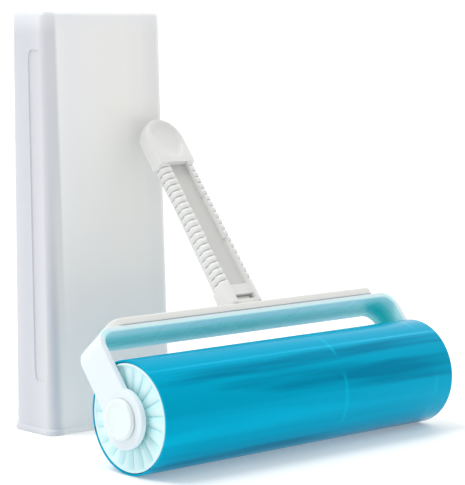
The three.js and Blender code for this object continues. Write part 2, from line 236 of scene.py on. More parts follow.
def combine(obj, bm, operation):
    """Joins a solid to obj, or cuts it from obj."""
    tool = as_object("tool", bm)
    modifier = obj.modifiers.new("combine", "BOOLEAN")
    modifier.operation = operation
    modifier.object = tool
    modifier.solver = "EXACT"
    bpy.context.view_layer.update()
    result = bpy.data.meshes.new_from_object(obj.evaluated_get(bpy.context.evaluated_depsgraph_get()))
    old = obj.data
    obj.modifiers.clear()
    obj.data = result
    result.name = obj.name
    bpy.data.meshes.remove(old)
    spare = tool.data
    bpy.data.objects.remove(tool)
    bpy.data.meshes.remove(spare)
    return obj


def cut(obj, *solids):
    for bm in solids:
        combine(obj, bm, "DIFFERENCE")
    return obj


def join(obj, *solids):
    for bm in solids:
        combine(obj, bm, "UNION")
    return obj


def place(obj, where, body, node, material, sharp=38):
    """Puts a finished piece in the frame: its place, body, CAD node and material."""
    obj.data.transform(where)
    obj.data.materials.clear()
    obj.data.materials.append(material)
    obj.data.shade_smooth()
    obj.data.set_sharp_from_angle(angle=math.radians(sharp))
    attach(obj, body)
    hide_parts(node)
    return obj


# ---------- materials ----------
def link(tree, source, target):
    tree.links.new(source, target)


def coordinates(tree, stretch):
    where = tree.nodes.new("ShaderNodeTexCoord")
    mapping = tree.nodes.new("ShaderNodeMapping")
    mapping.inputs["Scale"].default_value = stretch
    link(tree, where.outputs["Object"], mapping.inputs["Vector"])
    return mapping.outputs["Vector"]


def noise(tree, scale, stretch=(1, 1, 1), detail=4.0):
    texture = tree.nodes.new("ShaderNodeTexNoise")
    texture.inputs["Scale"].default_value = scale
    texture.inputs["Detail"].default_value = detail
    link(tree, coordinates(tree, stretch), texture.inputs["Vector"])
    return texture.outputs["Fac"]


def along(tree, axis):
    """The object's own X, Y or Z in metres."""
    split = tree.nodes.new("ShaderNodeSeparateXYZ")
    link(tree, coordinates(tree, (1, 1, 1)), split.inputs[0])
    return split.outputs[axis]


def ramp(tree, value, stops):
    node = tree.nodes.new("ShaderNodeValToRGB")
    ramp_stops = node.color_ramp.elements
    while len(ramp_stops) < len(stops):
        ramp_stops.new(0.5)
    for element, (position, colour) in zip(ramp_stops, stops):
        element.position = position
        element.color = (*colour, 1)
    link(tree, value, node.inputs["Fac"])
    return node.outputs["Color"]


def remap(tree, value, source, target):
    node = tree.nodes.new("ShaderNodeMapRange")
    node.interpolation_type = "SMOOTHSTEP"
    for socket, number in zip(("From Min", "From Max", "To Min", "To Max"), (*source, *target)):
        node.inputs[socket].default_value = number
    link(tree, value, node.inputs["Value"])
    return node.outputs["Result"]


def mix(tree, factor, a, b):
    node = tree.nodes.new("ShaderNodeMix")
    node.data_type = "RGBA"
    for socket, value in ((0, factor), (6, a), (7, b)):
        if isinstance(value, tuple):
            node.inputs[socket].default_value = (*value, 1)
        else:
            link(tree, value, node.inputs[socket])
    return node.outputs[2]


def math_node(tree, operation, *values):
    node = tree.nodes.new("ShaderNodeMath")
    node.operation = operation
    for socket, value in zip(node.inputs, values):
        if isinstance(value, (int, float)):
            socket.default_value = value
        else:
            link(tree, value, socket)
    return node.outputs[0]


def bump(tree, shader, height, distance, strength):
    node = tree.nodes.new("ShaderNodeBump")
    node.inputs["Strength"].default_value = strength
    node.inputs["Distance"].default_value = distance
    link(tree, height, node.inputs["Height"])
    link(tree, node.outputs["Normal"], shader.inputs["Normal"])


def new_material(name, **sockets):
    material = bpy.data.materials.new(name)
    material.use_nodes = True
    shader = material.node_tree.nodes["Principled BSDF"]
    for socket, value in sockets.items():
        shader.inputs[socket.replace("_", " ")].default_value = value
    return material, material.node_tree, shader


# Noise runs from about 0.3 to 0.7, so colours and gloss are spread over that range.
NOISE_RANGE = (0.3, 0.7)
CLOUD_SCALE = 22
GLOSS_SCALE = 60
GRAIN_SCALE = 900
GRAIN_DEPTH = 0.00002
# Where the painted shade on the handle lies, in metres across, towards the back and along the handle.
CHANNEL_SHADE = {"floor": (-0.0078, -0.0066), "wall": (0.0050, 0.0064), "wall_share": 0.35,
                 "side": (0.0064, 0.0068), "end": 0.002}
GROOVE_SHADE = {"valley": 0.42, "side": (0.0064, 0.0076), "end": 0.001, "back": (0.0018, 0.0034)}
# How the painted teal bounce light on the yoke's inner faces fades at their edges, in metres.
PAINTED_BOUNCE_EDGE = (0.00002, 0.00035)
PAINTED_BOUNCE_FRONT = (-0.0089, -0.0084)
PAINTED_BOUNCE_FRONT_TALL = 0.0026
# Radii between which the end cap is pleated and carries its painted shade, in metres.
PLEATS_START = (0.0085, 0.0100)
PLEATS_END = (0.0215, 0.0226)
# The faint joins round the sleeve, in metres from the object's middle.
SEAMS = (0.018, 0.0785)


def cloudy(tree, dark, light):
    """A colour that drifts slightly over the surface."""
    return ramp(tree, noise(tree, CLOUD_SCALE, detail=1), tuple(zip(NOISE_RANGE, (dark, light))))


def uneven_gloss(tree, shader, rough, scale=GLOSS_SCALE, stretch=(1, 1, 1), detail=1.0):
    """A roughness that drifts slightly over the surface."""
    drift = remap(tree, noise(tree, scale, stretch, detail), NOISE_RANGE, rough)
    link(tree, drift, shader.inputs["Roughness"])


def fine_grain(tree, shader, strength):
    bump(tree, shader, noise(tree, GRAIN_SCALE, detail=2), GRAIN_DEPTH, strength)


def moulded(name, light, dark, rough=(0.30, 0.36)):
    """Moulded plastic: a slight cloudiness in its colour and gloss, and a fine moulded grain."""
    material, tree, shader = new_material(name)
    link(tree, cloudy(tree, dark, light), shader.inputs["Base Color"])
    uneven_gloss(tree, shader, rough, stretch=(1, 1, 0.3))
    fine_grain(tree, shader, 0.25)
    return material


def product(tree, *values):
    result = values[0]
    for value in values[1:]:
        result = math_node(tree, "MULTIPLY", result, value)
    return result


def weighted(tree, a, weight_a, b, weight_b):
    return math_node(tree, "ADD", math_node(tree, "MULTIPLY", a, weight_a),
                     math_node(tree, "MULTIPLY", b, weight_b))


def ripple(tree, value, rate):
    """The size of a sine: 0 in each valley and 1 on each crest."""
    return math_node(tree, "ABSOLUTE", math_node(tree, "SINE", math_node(tree, "MULTIPLY", value, rate)))


def about_axle(tree):
    """The object's own X, Y and Z in metres, measured from the axle."""
    return [math_node(tree, "SUBTRACT", along(tree, axis), AXLE[i] * MM) for i, axis in enumerate("XYZ")]


def leaning_places(tree):
    """How far out from the middle, towards the back and up the leaning handle, in metres."""
    x, y, z = about_axle(tree)
    to_back = weighted(tree, y, math.cos(LEAN), z, -math.sin(LEAN))
    up_handle = weighted(tree, y, math.sin(LEAN), z, math.cos(LEAN))
    return math_node(tree, "ABSOLUTE", x), to_back, up_handle


def handle_material():
    """White plastic, with painted shade on the floor of the sunk channel and in the grooves between the ribs.
    """
    material, tree, shader = new_material("handle_plastic", Specular_IOR_Level=0.4)
    outward, to_back, up_handle = leaning_places(tree)
    pad_low = GRIP["pad_low"] * MM
    white = cloudy(tree, (0.80, 0.80, 0.785), (0.815, 0.815, 0.80))
    # Painted shade: greys the channel floor as if the flanges shaded it.
    channel = product(
        tree,
        remap(tree, to_back, CHANNEL_SHADE["floor"], (0.0, 1.0)),
        remap(tree, outward, CHANNEL_SHADE["wall"], (1.0, CHANNEL_SHADE["wall_share"])),
        remap(tree, up_handle, (pad_low, pad_low + CHANNEL_SHADE["end"]), (1.0, 0.0)),
        remap(tree, outward, CHANNEL_SHADE["side"], (1.0, 0.0)))
    with_channel_shade = mix(tree, channel, white, (0.62, 0.62, 0.60))
    first, pitch = RIBS["first"] * MM, RIBS["pitch"] * MM
    last = first + (RIBS["count"] - 1) * pitch
    wave = ripple(tree, math_node(tree, "SUBTRACT", up_handle, first), math.pi / pitch)
    down_handle = math_node(tree, "MULTIPLY", up_handle, -1)
    to_front = math_node(tree, "MULTIPLY", to_back, -1)
    # Painted shade: greys the valleys between the ribs as if they lay in shade.
    painted_groove_shade = product(
        tree,
        remap(tree, wave, (0.0, GROOVE_SHADE["valley"]), (1.0, 0.0)),
        remap(tree, outward, GROOVE_SHADE["side"], (0.0, 1.0)),
        remap(tree, up_handle, (first - GROOVE_SHADE["end"], first), (0.0, 1.0)),
        remap(tree, down_handle, (-last - GROOVE_SHADE["end"], -last), (0.0, 1.0)),
        remap(tree, to_front, GROOVE_SHADE["back"], (0.0, 1.0)))
    link(tree, mix(tree, painted_groove_shade, with_channel_shade, (0.48, 0.48, 0.465)), shader.inputs["Base Color"])
    uneven_gloss(tree, shader, (0.30, 0.36))
    fine_grain(tree, shader, 0.15)
    return material


def yoke_material():
    """White plastic whose inner faces, next to the blue roller, carry painted teal bounce light from it."""
    material, tree, shader = new_material("yoke_plastic", Specular_IOR_Level=0.15)
    outward, to_back, up_handle = leaning_places(tree)
    under, reach, half = (BAR_TOP - STRAP) * MM, (YOKE_HALF - STRAP) * MM, STRAP_HALF * MM
    solid, fade = PAINTED_BOUNCE_EDGE
    # Painted reflection: the strap's inner faces and the crossbar's lower front edge take the teal of light
    # bounced off the blue roller.
    below = remap(tree, up_handle, (under + solid, under + fade), (1.0, 0.0))
    within = remap(tree, outward, (reach + solid, reach + fade), (1.0, 0.0))
    front_edge = product(
        tree,
        remap(tree, to_back, PAINTED_BOUNCE_FRONT, (0.9, 0.0)),
        remap(tree, up_handle, (under, under + PAINTED_BOUNCE_FRONT_TALL), (1.0, 0.1)))
    inner = product(tree, math_node(tree, "MAXIMUM", below, front_edge), within)
    painted_roller_bounce = ramp(tree, remap(tree, to_back, (-half, half), (0.0, 1.0)),
                ((0.0, (0.60, 0.93, 0.94)), (0.28, (0.16, 0.76, 0.76)), (0.6, (0.0, 0.62, 0.62)),
                 (0.82, (0.02, 0.66, 0.67)), (1.0, (0.45, 0.88, 0.90))))
    white = cloudy(tree, (0.76, 0.84, 0.885), (0.775, 0.85, 0.895))
    link(tree, mix(tree, inner, white, painted_roller_bounce), shader.inputs["Base Color"])
    uneven_gloss(tree, shader, (0.24, 0.30))
    fine_grain(tree, shader, 0.15)
    return material


def cap_material():
    """Pale blue-white plastic, with bluer painted shade along the valleys and on one side of each pleat."""
    material, tree, shader = new_material("cap_plastic", Specular_IOR_Level=0.35)
    _, y, z = about_axle(tree)
    turn = math_node(tree, "ARCTAN2", z, y)
    squares = [math_node(tree, "POWER", value, 2) for value in (y, z)]
    radius = math_node(tree, "SQRT", math_node(tree, "ADD", *squares))
    pleated = product(tree, remap(tree, radius, PLEATS_START, (0.0, 1.0)),
                      remap(tree, radius, PLEATS_END, (1.0, 0.0)))
    # Painted shade: one side of each pleat and the crease of each valley are shaded towards aqua across the
    # pleated ring.
    painted_pleat_side_shade = remap(tree, math_node(tree, "SINE", math_node(tree, "MULTIPLY", turn, FLUTES)),
                     (-0.2, 0.9), (0.0, 0.45))
    painted_crease_shade = remap(tree, ripple(tree, turn, FLUTES / 2), (0.02, 0.34), (1.0, 0.0))
    valley = product(tree, math_node(tree, "MAXIMUM", painted_crease_shade, painted_pleat_side_shade), pleated)
    pale = cloudy(tree, (0.68, 0.91, 0.94), (0.72, 0.93, 0.95))
    link(tree, mix(tree, valley, pale, (0.50, 0.85, 0.90)), shader.inputs["Base Color"])
    uneven_gloss(tree, shader, (0.32, 0.38))
    fine_grain(tree, shader, 0.15)
    return material


def sleeve_material():
    """Blue washable gel: glossy, with faint lengthwise streaks and faint rings where it was joined."""
    material, tree, shader = new_material(
        "sticky_gel", Metallic=0.16, IOR=1.42, Specular_IOR_Level=0.03)
    streaks = noise(tree, 75, (0.05, 1, 1), 3)
    colour = ramp(tree, streaks, ((0.38, (0.0, 0.235, 0.400)), (0.46, (0.0, 0.375, 0.590)),
                                  (0.60, (0.0, 0.375, 0.590)), (0.70, (0.0, 0.430, 0.660))))
    distances = [math_node(tree, "ABSOLUTE", math_node(tree, "SUBTRACT", along(tree, "X"), seam))
                 for seam in SEAMS]
    rings = math_node(tree, "MAXIMUM", *[remap(tree, d, (0.0002, 0.0014), (0.55, 0.0)) for d in distances])
    faint = product(tree, rings, remap(tree, noise(tree, 40), (0.45, 0.62), (0.0, 1.0)))
    link(tree, mix(tree, faint, colour, (0.0, 0.52, 0.74)), shader.inputs["Base Color"])
    uneven_gloss(tree, shader, (0.08, 0.16), 160, (0.1, 1, 1), 4.0)
    waves = math_node(tree, "ADD", noise(tree, 55, (0.12, 1, 1), 2), math_node(tree, "MULTIPLY", rings, 0.3))
    bump(tree, shader, waves, 0.00022, 0.3)
    return material


def cover_material():
    """Milky polypropylene: bluish at the closed top, creamier in front and greyer at the back, with painted
    shade at both ends and painted light on the lower front.
    """
    material, tree, shader = new_material(
        "milky_polypropylene", Subsurface_Weight=0.25, Subsurface_Scale=0.003, IOR=1.49,
        Specular_IOR_Level=0.3)
    shader.inputs["Subsurface Radius"].default_value = (1.0, 1.0, 1.1)
    left, right = COVER_FOOT["left"] * MM, COVER_FOOT["right"] * MM
    front, back = COVER_FOOT["front"] * MM, COVER_FOOT["back"] * MM
    # Painted shade: the ramp darkens the left end and the right edge to set how light falls on them; its
    # middle is the plastic's own creamy tone.
    side = ramp(tree, remap(tree, along(tree, "X"), (left, right), (0.0, 1.0)),
                ((0.0, (0.56, 0.575, 0.64)), (0.045, (0.58, 0.59, 0.65)), (0.06, (0.92, 0.93, 0.96)),
                 (0.13, (0.90, 0.905, 0.92)), (0.3, (0.92, 0.915, 0.90)), (0.75, (0.925, 0.915, 0.875)),
                 (0.90, (0.87, 0.865, 0.845)), (0.985, (0.74, 0.74, 0.73))))
    top = remap(tree, along(tree, "Z"), (0.187, 0.197), (0.0, 0.5))
    tinted = mix(tree, top, side, (0.86, 0.89, 0.95))
    bands = remap(tree, noise(tree, 26, (1, 1, 0.05), 1), (0.35, 0.65), (0.0, 0.35))
    banded = mix(tree, bands, tinted, (0.94, 0.94, 0.935))
    # Painted light: the lower front is brightened and warmed to cancel the shade and blue bounce of the
    # roller in front of it.
    foot = product(tree, remap(tree, along(tree, "X"), (left + 0.004, left + 0.009), (0.0, 1.0)),
                   remap(tree, along(tree, "Z"), (0.02, 0.14), (0.9, 0.0)))
    with_painted_foot_light = mix(tree, foot, banded, (1.0, 0.97, 0.94))
    behind = remap(tree, along(tree, "Y"), (front + 0.025, back - 0.008), (0.0, 1.0))
    link(tree, mix(tree, behind, with_painted_foot_light, (0.63, 0.64, 0.66)), shader.inputs["Base Color"])
    uneven_gloss(tree, shader, (0.30, 0.38), 50, (1, 1, 0.2))
    bump(tree, shader, noise(tree, 18, (1, 1, 0.15), 1), 0.0001, 0.12)
    return material


# ---------- the roller ----------
def pipe_profile(inner, outer, half, edge):
    return rounded_outline([(inner, -half, edge / 2), (outer, -half, edge),
                            (outer, half, edge), (inner, half, edge / 2)], 4)


def sticky_sleeve(material):
    profile = pipe_profile(ROLLER_R - SLEEVE_WALL, ROLLER_R, ROLLER_HALF, SLEEVE_EDGE)
    gel = as_object("sticky_sleeve_gel", revolve(profile, 256))
    return place(gel, AT_AXLE, "roller", "sticky_sleeve", material)


def core_tube(material):
    profile = pipe_profile(TUBE_R - TUBE_WALL, TUBE_R, TUBE_HALF, TUBE_EDGE)
    tube = as_object("core_tube_inner", revolve(profile, 128))
    return place(tube, AT_AXLE, "roller", "core_tube", material)


def flute_depth(turn, radius):
    """How far the pleated face lies below the rim: sharp valleys, and pleats with rounded outer ends."""
    pleat = abs(math.sin(FLUTES * turn / 2)) ** FLUTE["sharp"]
    out = (radius - HUB_R) / (CAP_RIM_R - HUB_R)
    towards_rim = max(0, (out - FLUTE["deep_from"]) / (1 - FLUTE["deep_from"]))
    valley = FLUTE["deep"] * math.sqrt(max(0, 1 - towards_rim ** 4))
    crest = FLUTE["crest"] + FLUTE["crest_fall"] * (1 - out) ** 2
    crest *= 1 - max(0, (out - FLUTE["round_from"]) / (1 - FLUTE["round_from"])) ** 2
    return valley + (min(crest, valley) - valley) * pleat * min(1, FLUTE["foot"] + out * FLUTE["foot_rise"])


def end_cap(side, material):
    """Rim, spigot, pleated face and the hub that turns on the axle."""
    back = TUBE_HALF + GAP
    spigot = TUBE_R - TUBE_WALL - GAP
    spigot_end = CAP_LOW.x
    inside = ROLLER_HALF - CAP_THICK
    hub_end = ROLLER_HALF - HUB_LONG
    face = [(HUB_R + 0.15, CAP_HIGH.x - 0.05), (HUB_R + 0.35, CAP_HIGH.x - 0.35)]
    pleated = [(radius, ROLLER_HALF) for radius in np.linspace(HUB_R + 0.6, CAP_RIM_R - 0.02, 30)]
    rim = [(CAP_RIM_R, ROLLER_HALF), (TUBE_R - 0.3, ROLLER_HALF), (TUBE_R - 0.09, ROLLER_HALF - 0.09),
           (TUBE_R, ROLLER_HALF - 0.3)]
    behind = [(TUBE_R, back), (spigot, back), (spigot, spigot_end + 0.4), (spigot - 0.4, spigot_end),
              (spigot - 1.4, spigot_end), (spigot - 1.4, inside), (HUB_R, inside), (HUB_R, hub_end),
              (BORE_R, hub_end), (BORE_R, CAP_HIGH.x)]
    profile = face + pleated + rim + behind + [(HUB_R - 0.2, CAP_HIGH.x)]

    def swell(turn, radius, x):
        fluted = x == ROLLER_HALF and HUB_R + 0.5 < radius < CAP_RIM_R
        return -flute_depth(turn, radius) if fluted else 0

    cap = as_object(f"end_cap_pleated_{side}", revolve(profile, FLUTES * 16, swell))
    if side == "left":
        cap.data.transform(Matrix.Rotation(math.pi, 4, "Y"))
    return place(cap, AT_AXLE, "roller", f"end_cap_{side}", material, sharp=32)


def axle_stub(side, material):
    """A round head with a slightly sunk face, the shank through the arm, and a barb inside the hub."""
    inside = YOKE_HALF + GAP
    outside = STUB_HIGH.x
    end = STUB_LOW.x
    barb = AXLE_R + 1
    dished = 7.1
    head = rounded_outline([
        (-AXLE_HEAD_R, outside, 0.9), (AXLE_HEAD_R, outside, 0.9), (AXLE_HEAD_R, inside, 0.2),
        (AXLE_R, inside, 0.1), (AXLE_R, end + 2, 0.1), (barb, end + 2, 0.2), (barb, end + 0.8, 0.2),
        (AXLE_R - 0.8, end, 0.3), (-AXLE_R, end, 0.3)], 6)
    half = [(0, outside - 0.25), (5.8, outside - 0.25), (6.5, outside - 0.2), (dished, outside - 0.02)]
    half += [p for p in head if p[0] > dished or (p[0] > 0 and p[1] < inside + 0.2)] + [(0, end)]
    stub = as_object(f"axle_stub_cap_{side}", revolve(half[::-1], 96))
    if side == "left":
        stub.data.transform(Matrix.Rotation(math.pi, 4, "Z"))
    return place(stub, AT_AXLE, "frame", f"axle_stub_{side}", material, sharp=50)


# ---------- yoke, spine plate and catch ----------
MID = STRAP / 2
ARM_LONG = BAR_TOP - CORNER_R
BEND_R = CORNER_R - MID
BEND_LONG = BEND_R * math.pi / 2
BAR_HALF = YOKE_HALF - CORNER_R
STRAP_LONG = 2 * (ARM_LONG + BEND_LONG + BAR_HALF)


def bent(along_strap, out, across):
    """A point of the straight strap, bent into the yoke: arm, bend, crossbar, bend, arm."""
    mirrored = along_strap > STRAP_LONG / 2
    q = STRAP_LONG - along_strap if mirrored else along_strap
    if q < ARM_LONG:
        x, up = -YOKE_HALF + MID - out, q
    elif q < ARM_LONG + BEND_LONG:
        angle = (q - ARM_LONG) / BEND_R
        x = -BAR_HALF - (BEND_R + out) * math.cos(angle)
        up = ARM_LONG + (BEND_R + out) * math.sin(angle)
    else:
        x, up = -BAR_HALF + q - ARM_LONG - BEND_LONG, BAR_TOP - MID + out
    return (-x if mirrored else x, across, up)


def strap_stations(inset):
    """(distance, half width) pairs along half the strap: the round boss, then the straight strap."""
    boss, strap = BOSS_R - inset, STRAP_HALF - inset
    meet = math.acos(strap / boss)
    turns = np.linspace(-math.pi / 2, meet, 40)
    stations = [(boss * math.sin(t), boss * math.cos(t)) for t in turns]
    start = stations[-1][0]
    arm = list(np.linspace(start, ARM_LONG, 8))[1:]
    bend = list(np.linspace(ARM_LONG, ARM_LONG + BEND_LONG, 14))[1:]
    bar = list(np.linspace(ARM_LONG + BEND_LONG, STRAP_LONG / 2, 12))[1:]
    return stations + [(q, strap) for q in arm + bend + bar]


def yoke_frame(material):
    layers = [(MID - drop, inset) for drop, inset in quarter(STRAP_EDGE)]
    layers += [(-out, inset) for out, inset in layers[::-1]]
    tracks = [strap_stations(inset) for _, inset in layers]
    count = len(tracks[0])
    rings = []
    for i in list(range(count)) + list(range(count - 2, -1, -1)):
        far = len(rings) >= count
        near = [(STRAP_LONG - track[i][0] if far else track[i][0], track[i][1]) for track in tracks]
        ring = [bent(q, out, wide) for (q, wide), (out, _) in zip(near, layers)]
        ring += [bent(q, out, -wide) for (q, wide), (out, _) in zip(near[::-1], layers[::-1])]
        rings.append(ring)
    yoke = as_object("yoke_strap", loft(rings, caps=False))
    for side in (-1, 1):
        ends = sorted((side * (YOKE_HALF - STRAP - 1), side * (YOKE_HALF + 1)))
        cut(yoke, rod(AXLE_R + GAP, *ends))
    return place(yoke, LEANING, "frame", "yoke_frame", material)


def spine_plate(material):
    """The flat plate along the crossbar, with the tongue that holds the handle."""
    def outline(inset):
        radius = PLATE["corner"] - inset
        x, front, back = PLATE_HALF - inset, PLATE["front"] + inset, PLATE["back"] - inset
        return rounded_outline([(-x, front, radius), (x, front, radius), (x, back, radius),
                                (-x, back, radius)], 10)

    levels = [(PLATE["low"] + drop, inset) for drop, inset in quarter(PLATE["low_edge"])]
    levels += [(PLATE["top"] - drop, inset) for drop, inset in quarter(PLATE["top_edge"])[::-1]]
    plate = as_object("spine_plate_bar", loft([[(x, y, z) for x, y in outline(e)] for z, e in levels]))
    tongue = rounded_block((-TONGUE["half"], TONGUE["front"], PLATE["top"] - 1.5),
                           (TONGUE["half"], TONGUE["back"], TONGUE["top"]), 0.5)
    opening = rounded_block((-CATCH["half"] - GAP, TONGUE["front"] - 1, CATCH["low"] - 0.6),
                            (CATCH["half"] + GAP, TONGUE["back"] + 1, CATCH["pivot"] + GAP), 0.2)
    cut(join(plate, tongue), opening)
    return place(plate, LEANING, "frame", "spine_plate", material)


def release_catch(material):
    face = TONGUE["front"]
    tab = as_object("release_catch_tab", rounded_block(
        (-CATCH["half"], face, CATCH["low"]), (CATCH["half"], face + CATCH["thick"], CATCH["pivot"]), 0.25))
    nib = rounded_block((-CATCH["half"], face - CATCH["nib"], WINDOW["low"] + GAP),
                        (CATCH["half"], face + 0.7, WINDOW["high"] - GAP), 0.3)
    join(tab, nib)
    return place(tab, LEANING, "catch", "release_catch", material)


# ---------- the handle ----------
TIP_CENTRE = GRIP["tip"] - GRIP["half_top"]


def grip_half(height):
    """Half the handle's width: straight sides that widen a little, then a half-round tip."""
    straight = np.interp(height, (GRIP["low"], TIP_CENTRE), (GRIP["half_low"], GRIP["half_top"]))
    past = np.clip((height - TIP_CENTRE) / GRIP["half_top"], 0, 1)
    return straight * np.sqrt(1 - past ** 2)


def grip_back(height):
    """The back of the handle: a taper, a parallel stretch, and the curve that rounds the tip."""
    taper = np.interp(height, (GRIP["low"], GRIP["taper_end"]), (GRIP["back_low"], GRIP["back_top"]))
    t = np.linspace(0, 1, 40)
    curve = [(1 - t) ** 2 * a + 2 * t * (1 - t) * b + t ** 2 * c for a, b, c in TIP_CURVE]
    return np.where(height > curve[0][0], np.interp(height, *curve), taper)


def rib_depth(height):
    """Round-topped ribs with narrow valleys between them."""
    turn = math.pi * (height - RIBS["first"]) / RIBS["pitch"]
    valley = RIBS["deep"] * (1 - abs(math.sin(turn)) ** 0.5)
    start = RIBS["first"] - 0.5 * RIBS["pitch"]
    last = RIBS["first"] + (RIBS["count"] - 1) * RIBS["pitch"]
    within = start < height < min(last + 0.5 * RIBS["pitch"], GRIP["pad_low"])
    return valley if within else 0.0


def edge_round(inward, radius):
    """How far a rounded edge falls away at a distance in from the side."""
    short = np.clip(radius - inward, 0, radius)
    return radius - np.sqrt(radius ** 2 - short ** 2)


def inward_of(x, height):
    """Distance from a point of the front to the handle's outline."""
    straight = grip_half(min(height, TIP_CENTRE)) - abs(x)
    return GRIP["half_top"] - math.hypot(x, height - TIP_CENTRE) if height > TIP_CENTRE else straight


def front_surface(x, height):
    """The handle's front: ribbed flanges, sunk channel, base block, and the pad with its oval dish."""
    inward = inward_of(x, height)
    if height > GRIP["pad_low"]:
        rho = (x / DISH["half"]) ** 2 + ((height - DISH["centre"]) / DISH["tall"]) ** 2
        dish = DISH["deep"] * max(0, 1 - rho) ** DISH["round"]
        crown = 0.25 * smoothstep(GRIP["pad_low"] + 3, GRIP["pad_low"], height)
        return GRIP["pad"] + dish + crown + edge_round(inward, PAD_ROUND)
    channel = channel_half(height)
    beside = float(smoothstep(channel - 0.1, channel + 0.9, abs(x)))
    flange = GRIP["front"] + edge_round(inward, FLANGE_ROUND) + rib_depth(height) * beside
    floor = CHANNEL["floor"] if height > CHANNEL["block_top"] else CHANNEL["block"]
    return floor if abs(x) < channel else flange


def channel_half(height):
    return float(np.interp(height, (CHANNEL["block_top"], GRIP["pad_low"]),
                           (CHANNEL["half_low"], CHANNEL["half_top"])))


def grip_columns(height):
    """Places across the front, closer together at the channel's walls and the outer edges."""
    half = float(grip_half(height))
    channel = min(channel_half(height), half * 0.52)
    inner = channel * np.array([0, 0.25, 0.5, 0.72, 0.87, 0.95, 0.985, 0.9995])
    outer = channel * 1.03 + (half - channel * 1.03) * np.array(
        [0, 0.08, 0.2, 0.36, 0.52, 0.66, 0.77, 0.86, 0.93, 0.975, 1.0])
    right = np.concatenate([inner, outer])
    return np.concatenate([-right[:0:-1], right])


def grip_heights():
    """Rows along the handle, closer together where its surface turns."""
    first = RIBS["first"] - RIBS["pitch"] / 2
    low = [GRIP["low"], GRIP["low"] + 0.12, GRIP["low"] + 0.4, 46.5, 49, 52, 54.2, 54.8,
           CHANNEL["block_top"] - 0.06, CHANNEL["block_top"] + 0.06, 55.4]
    ribs = list(np.linspace(first, GRIP["pad_low"] - 0.35, RIBS["count"] * 14))
    step = [GRIP["pad_low"] + offset for offset in (-0.3, -0.05, 0.05, 0.3)]
    pad = list(np.linspace(GRIP["pad_low"] + 0.7, TIP_CENTRE, 30))
    tip = [TIP_CENTRE + GRIP["half_top"] * math.sin(t) for t in np.linspace(0, math.pi / 2, 34)[1:-1]]
    return low + ribs + step + pad + tip + [GRIP["tip"] - 0.004]


def grip_ring(height):
    """One closed section of the handle."""
    half = float(grip_half(height))
    back = float(grip_back(height))
    foot = GRIP_FOOT_EDGE * float(smoothstep(GRIP["low"] + 0.4, GRIP["low"], height))
    front = [(x, float(front_surface(x, height)) + foot) for x in grip_columns(height)]
    edge = min(max(front[-1][1], front[0][1]), back - 0.05)
    thick = back - GRIP_BACK_ROUND > edge
    wall_deep = back - GRIP_BACK_ROUND - edge if thick else (back - edge) * 0.5
    back_round = GRIP_BACK_ROUND if thick else (back - edge) * 0.4
    ribbed = rib_depth(height)
    beside_ribs = RIBS["first"] - 2.6 < height < GRIP["pad_low"]
    wall, behind = [], []
    for share in (0.12, 0.3, 0.48, 0.6, 0.68, 0.76, 0.86, 1.0):
        ribs_end = float(smoothstep(0.62, 0.76, share)) if beside_ribs else 0
        set_back = ribbed + (RIBS["deep"] * 0.8 - ribbed) * ribs_end
        wall.append((half - set_back - foot, edge + wall_deep * share))
    for turn in np.linspace(0.25, 1, 4) * math.pi / 2:
        x = wall[-1][0] - GRIP_BACK_ROUND * (1 - math.cos(turn)) * min(1, half / 2)
        behind.append((x, back - back_round * (1 - math.sin(turn))))
    side = wall + behind
    across = [(side[-1][0] * share, back - foot) for share in (0.66, 0.33, 0, -0.33, -0.66)]
    ring = front[:-1] + [(half - ribbed - foot, edge)] + side + across + [(-x, y) for x, y in side[::-1]]
    ring[0] = (-half + ribbed + foot, edge)
    return [(x, y, height) for x, y in ring]


def handle_grip(material):
    grip = as_object("handle_grip_ribbed", loft([grip_ring(h) for h in grip_heights()]))
    front = TONGUE["front"] - GAP
    low = GRIP["low"] - 1
    nib = CATCH["half"] + GAP
    half = TONGUE["half"] + GAP
    cut(grip,
        rounded_block((-half, front, low), (half, TONGUE["back"] + GAP, TONGUE["top"] + 1), 0),
        rounded_block((-nib, front - CATCH["nib"], low), (nib, front + 0.5, WINDOW["low"] + 0.5), 0),
        rounded_block((-WINDOW["half"], GRIP["pad"], WINDOW["low"]),
                      (WINDOW["half"], front + 0.5, WINDOW["high"]), 0.3))
    return place(grip, LEANING, "handle", "handle_grip", material, sharp=42)


# ---------- the dust cover ----------
def cover_outline(height, inset):
    """A square end for the roller and a narrow end for the crossbar, flush along the front."""
    rise = min(1, max(0, height / COVER_HIGH.z))
    size = {key: value + COVER_DRAFT.get(key, 0) * rise for key, value in COVER_FOOT.items()}
    left, right = size["left"] + inset, size["right"] - inset
    front, back = size["front"] + inset, size["back"] - inset
    slant = inset * 0.4
    places = [(left, front), (right, front), (right, back),
              (size["left"] + size["wedge"] + slant, back),
              (left, size["front"] + size["end"] - slant)]
    corners = [(x, y, max(radius - inset, 0.6)) for (x, y), radius in zip(places, COVER_CORNERS)]
    return [(x, y, height) for x, y in rounded_outline(corners, 10)]


def cover_rings():
    """From the outside of the closed top, down the wall, round the lip, and up the inside."""
    top = COVER_HIGH.z
    outside = [(top - drop, inset) for drop, inset in quarter(COVER_EDGE, 7)]
    heights = np.linspace(top - COVER_EDGE, LIP_HEIGHT + 1, 14)[1:]
    outside += [(float(h), 0) for h in heights]
    lip = [(LIP_HEIGHT + 0.35, -0.12), (LIP_HEIGHT + 0.1, -0.35), (LIP_HEIGHT, -0.6),
           (LIP_HEIGHT - 0.12, -0.85), (LIP_HEIGHT - 0.4, -LIP_PROUD), (0.45, -LIP_PROUD),
           (0.15, -0.87), (0, -0.55)]
    inside = [(0, COVER_WALL - 0.35), (0.12, COVER_WALL - 0.1), (0.4, COVER_WALL)]
    inside += [(float(h), COVER_WALL) for h in heights[::-1][1:]]
    ceiling = top - COVER_WALL
    inside += [(ceiling - drop, COVER_WALL + inset) for drop, inset in quarter(CEILING_EDGE)[::-1]]
    return [cover_outline(h, e) for h, e in outside + lip + inside]


